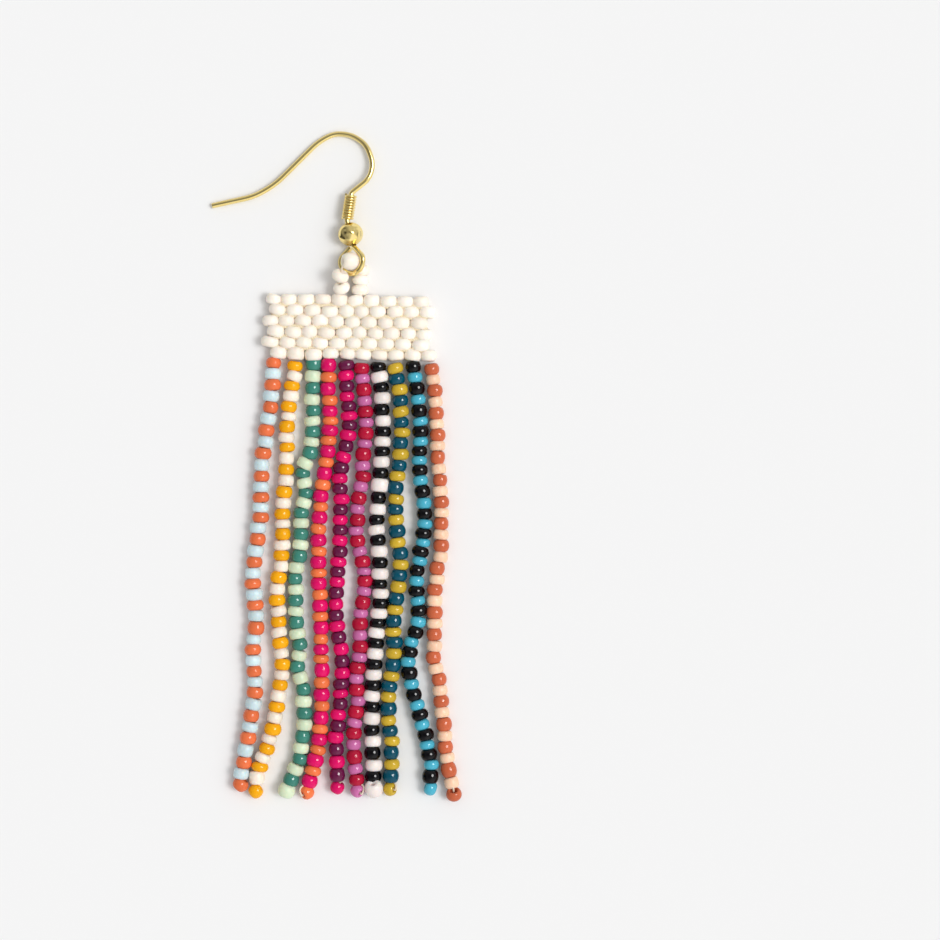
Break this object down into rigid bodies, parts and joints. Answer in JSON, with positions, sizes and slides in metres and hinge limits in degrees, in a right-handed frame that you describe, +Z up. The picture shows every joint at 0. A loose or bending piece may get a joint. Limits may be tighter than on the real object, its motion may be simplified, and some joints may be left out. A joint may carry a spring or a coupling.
{
  "type": "beaded fringe earring",
  "caption": "Drop earring on a fish-hook ear wire with ball and coil, a woven ivory bead band and a long fringe of two-colour seed bead strings.",
  "frame": {"origin": "on the surface that the earring lies on, under the middle of its whole outline", "axes": "+Z up from the surface, +Y from the fringe to the ear hook, +X to the right seen from above"},
  "size_m": [0.0329, 0.0882, 0.0036],
  "materials": {
    "gold_wire": "polished",
    "ivory_beads": "gloss",
    "thread": "matte",
    "orange_beads": "gloss",
    "amber_beads": "gloss",
    "green_beads": "gloss",
    "magenta_orange_beads": "gloss",
    "plum_beads": "gloss",
    "crimson_beads": "gloss",
    "black_white_beads": "gloss",
    "teal_beads": "gloss",
    "turquoise_beads": "gloss",
    "rust_beads": "gloss"
  },
  "bodies": {
    "root": {"ear_hook": "gold_wire", "hook_ball": "gold_wire", "wire_coil": "gold_wire", "beaded_band": "ivory_beads", "loop_bead_1": "ivory_beads", "loop_bead_2": "ivory_beads", "loop_bead_3": "ivory_beads", "loop_bead_4": "ivory_beads", "loop_bead_5": "ivory_beads", "loop_bead_6": "ivory_beads", "loop_thread": "thread", "fringe_string_01": "orange_beads", "fringe_string_02": "amber_beads", "fringe_string_03": "green_beads", "fringe_string_04": "magenta_orange_beads", "fringe_string_05": "plum_beads", "fringe_string_06": "crimson_beads", "fringe_string_07": "black_white_beads", "fringe_string_08": "teal_beads", "fringe_string_09": "turquoise_beads", "fringe_string_10": "rust_beads"}
  },
  "joints": []
}
